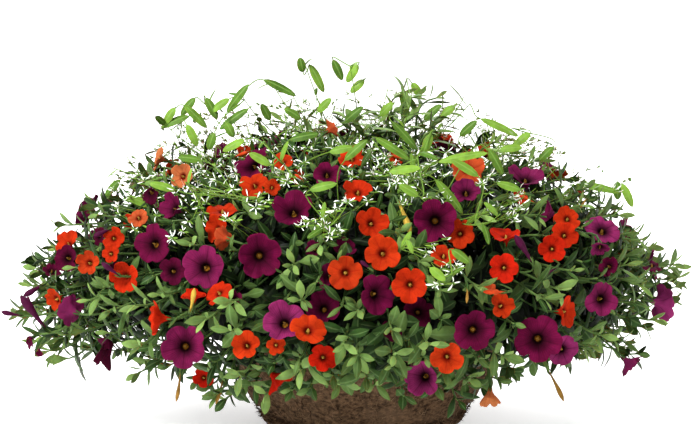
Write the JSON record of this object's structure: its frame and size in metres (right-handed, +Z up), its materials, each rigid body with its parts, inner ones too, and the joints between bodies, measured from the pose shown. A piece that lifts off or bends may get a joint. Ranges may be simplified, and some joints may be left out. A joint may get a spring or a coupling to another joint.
{
  "type": "calibrachoa hanging basket",
  "caption": "Round coir basket filled with bushy calibrachoa plants in plum and orange bloom, with airy white euphorbia rising through them.",
  "frame": {"origin": "centre of the flat base of the coir bowl", "axes": "+Z up, -Y to the front of the picture's view, +X to its right, along the widest spread of the foliage"},
  "size_m": [0.6407, 0.5369, 0.3445],
  "materials": {
    "coir": "rough brown moulded coir fibre",
    "dark_wire": "satin dark green paint",
    "soil": "dark crumbly potting soil",
    "calibrachoa_green": "soft mid green leaves, slightly sticky and softly shining",
    "euphorbia_green": "light yellow-green smooth leaves",
    "plum_petal": "velvety plum to magenta petals with a dark throat",
    "orange_petal": "satin orange to red-orange petals with darker veins",
    "petal_detail": "yellow throats and stigmas",
    "white_bract": "thin white bracts"
  },
  "bodies": {
    "root": {"calibrachoa_1": "calibrachoa_green", "calibrachoa_2": "calibrachoa_green", "calibrachoa_3": "calibrachoa_green", "calibrachoa_4": "calibrachoa_green", "coir_bowl": "coir", "euphorbia": "euphorbia_green", "orange_blooms_01": "orange_petal", "orange_blooms_02": "orange_petal", "orange_blooms_03": "orange_petal", "orange_blooms_04": "orange_petal", "orange_blooms_05": "orange_petal", "orange_blooms_06": "orange_petal", "orange_blooms_07": "orange_petal", "orange_blooms_08": "orange_petal", "orange_blooms_09": "orange_petal", "orange_blooms_10": "orange_petal", "orange_blooms_11": "orange_petal", "orange_blooms_12": "orange_petal", "orange_blooms_13": "orange_petal", "orange_blooms_14": "orange_petal", "orange_blooms_15": "orange_petal", "orange_blooms_16": "orange_petal", "orange_blooms_17": "orange_petal", "orange_blooms_18": "orange_petal", "orange_blooms_19": "orange_petal", "orange_blooms_20": "orange_petal", "orange_blooms_21": "orange_petal", "orange_blooms_22": "orange_petal", "orange_blooms_back_2": "orange_petal", "orange_blooms_back_4": "orange_petal", "orange_blooms_back_6": "orange_petal", "plum_blooms_01": "plum_petal", "plum_blooms_02": "plum_petal", "plum_blooms_03": "plum_petal", "plum_blooms_04": "plum_petal", "plum_blooms_05": "plum_petal", "plum_blooms_06": "plum_petal", "plum_blooms_07": "plum_petal", "plum_blooms_08": "plum_petal", "plum_blooms_09": "plum_petal", "plum_blooms_10": "plum_petal", "plum_blooms_11": "plum_petal", "plum_blooms_12": "plum_petal", "plum_blooms_13": "plum_petal", "plum_blooms_14": "plum_petal", "plum_blooms_15": "plum_petal", "plum_blooms_16": "plum_petal", "plum_blooms_17": "plum_petal", "plum_blooms_18": "plum_petal", "plum_blooms_19": "plum_petal", "plum_blooms_20": "plum_petal", "plum_blooms_21": "plum_petal", "plum_blooms_22": "plum_petal", "plum_blooms_23": "plum_petal", "plum_blooms_back_1": "plum_petal", "plum_blooms_back_3": "plum_petal", "plum_blooms_back_5": "plum_petal", "plum_blooms_back_7": "plum_petal", "potting_soil": "soil", "rim_hoop": "dark_wire"}
  },
  "joints": []
}
